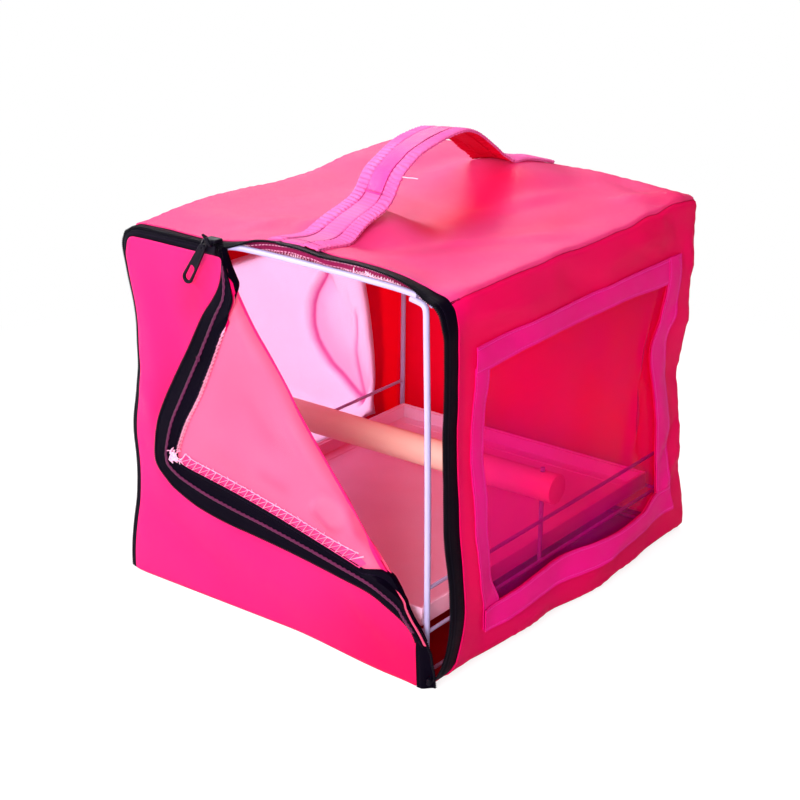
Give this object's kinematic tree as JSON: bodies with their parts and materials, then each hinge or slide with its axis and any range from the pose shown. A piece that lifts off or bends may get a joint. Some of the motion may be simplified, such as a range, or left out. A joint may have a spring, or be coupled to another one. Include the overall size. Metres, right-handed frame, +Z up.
{
  "type": "bird travel carrier",
  "caption": "Soft fabric box carrier for a small bird: wire frame, clear window, zipped door with one corner folded open, perch, slide-out tray and top strap handle.",
  "frame": {"origin": "centre of the cover's bottom face, on the ground", "axes": "+Z up, -Y towards the zipped door, +X towards the clear window"},
  "size_m": [0.2616, 0.3154, 0.3028],
  "materials": {
    "cover_fabric": "smooth coated weave, soft sheen",
    "binding_tape": "woven tape with stitched edges",
    "clear_film": "clear flexible film",
    "white_mesh": "fine open weave",
    "zip_tape": "woven nylon tape",
    "zip_coil": "nylon coil",
    "zip_metal": "black painted, satin",
    "webbing": "ribbed webbing",
    "satin_strip": "smooth satin weave",
    "coated_wire": "white dipped coating, gloss",
    "perch_wood": "plain turned dowel, unvarnished",
    "tray_plastic": "white gloss sheet"
  },
  "bodies": {
    "carrier": {"back_wall": "cover_fabric", "base_wire_front": "coated_wire", "base_wire_left": "coated_wire", "base_wire_rear": "coated_wire", "base_wire_right": "coated_wire", "cover_zip_coil": "zip_coil", "cover_zip_tape": "zip_tape", "floor_panel": "cover_fabric", "guide_wire_left": "coated_wire", "guide_wire_right": "coated_wire", "handle_foot_front": "webbing", "handle_foot_rear": "webbing", "left_wall": "cover_fabric", "left_window_binding_bottom": "binding_tape", "left_window_binding_front": "binding_tape", "left_window_binding_rear": "binding_tape", "left_window_binding_top": "binding_tape", "left_window_mesh": "white_mesh", "perch_stub_left": "coated_wire", "perch_stub_right": "coated_wire", "post_front_left": "coated_wire", "post_front_right": "coated_wire", "post_rear_left": "coated_wire", "post_rear_right": "coated_wire", "right_wall": "cover_fabric", "right_window_binding_bottom": "binding_tape", "right_window_binding_front": "binding_tape", "right_window_binding_rear": "binding_tape", "right_window_binding_top": "binding_tape", "right_window_film": "clear_film", "roof_panel": "cover_fabric", "top_wire_front": "coated_wire", "top_wire_left": "coated_wire", "top_wire_rear": "coated_wire", "top_wire_right": "coated_wire", "tray_support_wires": "coated_wire", "tray_wire_front": "coated_wire", "tray_wire_left": "coated_wire", "tray_wire_rear": "coated_wire", "tray_wire_right": "coated_wire", "zip_end_stops": "zip_metal"},
    "door": {"front_panel": "cover_fabric", "door_zip_tape": "zip_tape", "door_zip_coil": "zip_coil", "crease_roll": "cover_fabric"},
    "door_corner": {"door_flap": "cover_fabric", "flap_zip_tape": "zip_tape", "flap_zip_coil": "zip_coil"},
    "slider": {"zip_slider": "zip_metal"},
    "pull": {"zip_pull": "zip_metal"},
    "tray": {"floor_tray": "tray_plastic"},
    "perch": {"perch": "perch_wood"},
    "handle": {"handle_strap": "webbing", "handle_grip_strip": "satin_strip"}
  },
  "joints": [
    {"name": "door_drop", "type": "hinge", "parent": "carrier", "child": "door", "pos_m": [0, -0.15, 0], "axis": [1, 0, 0], "range_deg": [0, 80]},
    {"name": "corner_unfold", "type": "hinge", "parent": "door", "child": "door_corner", "pos_m": [-0.043, -0.1512, 0.25], "axis": [-0.588, 0, 0.8089], "range_deg": [0, 175]},
    {"name": "zip_slide", "type": "slide", "parent": "door", "child": "slider", "axis": [1, 0, 0], "range_m": [-0.06, 0.15]},
    {"name": "pull_swing", "type": "hinge", "parent": "slider", "child": "pull", "pos_m": [-0.0488, -0.157, 0.255], "axis": [-0.7071, 0, 0.7071], "range_deg": [0, 150]},
    {"name": "tray_slide", "type": "slide", "parent": "carrier", "child": "tray", "axis": [0, -1, 0], "range_m": [0, 0.06313]},
    {"name": "perch_lift", "type": "slide", "parent": "carrier", "child": "perch", "axis": [0, 0, 1], "range_m": [0, 0.03]},
    {"name": "handle_lean", "type": "hinge", "parent": "carrier", "child": "handle", "pos_m": [0.005, 0.004, 0.25], "axis": [0, 1, 0], "range_deg": [-35, 35], "stiffness_Nm_per_rad": 0.03}
  ],
  "couplings": [
    {"joint": "tray_slide", "follows": "door_drop", "m_per_rad": 0.045}
  ]
}
